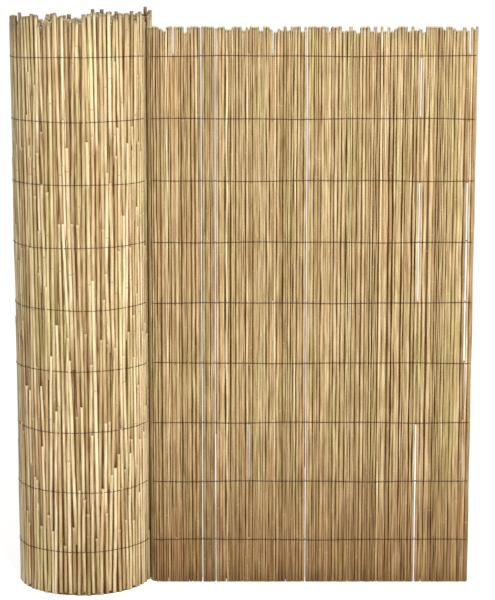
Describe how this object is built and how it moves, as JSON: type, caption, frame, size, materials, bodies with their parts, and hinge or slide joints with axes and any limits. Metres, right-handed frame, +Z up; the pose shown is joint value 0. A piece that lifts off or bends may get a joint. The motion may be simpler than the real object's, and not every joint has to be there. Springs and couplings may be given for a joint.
{
  "type": "reed screen",
  "caption": "Natural reed fence screen standing on its reed ends, partly unrolled: a tall roll of dry reeds bound with thin steel wire, its free length opened flat as a see-through panel",
  "frame": {"origin": "middle of the footprint, on the ground that the reeds stand on", "axes": "+Z up along the reeds, +X along the flat stretch away from the roll, -Y the side that the flat stretch turns forward"},
  "size_m": [0.823, 0.2494, 1.02],
  "materials": {
    "reed_outer": "dry reed, satin where it is smooth",
    "reed_inner": "dry reed, matt",
    "binding_wire": "dark annealed steel wire, slightly rusted"
  },
  "bodies": {
    "root": {"rolled_turns": "reed_outer", "flat_stretch": "reed_inner", "front_wire_1": "binding_wire", "front_wire_2": "binding_wire", "front_wire_3": "binding_wire", "front_wire_4": "binding_wire", "front_wire_5": "binding_wire", "front_wire_6": "binding_wire", "front_wire_7": "binding_wire", "front_wire_8": "binding_wire", "front_wire_9": "binding_wire", "back_wire_1": "binding_wire", "back_wire_2": "binding_wire", "back_wire_3": "binding_wire", "back_wire_4": "binding_wire", "back_wire_5": "binding_wire", "back_wire_6": "binding_wire", "back_wire_7": "binding_wire", "back_wire_8": "binding_wire", "back_wire_9": "binding_wire", "wire_twists": "binding_wire"}
  },
  "joints": []
}
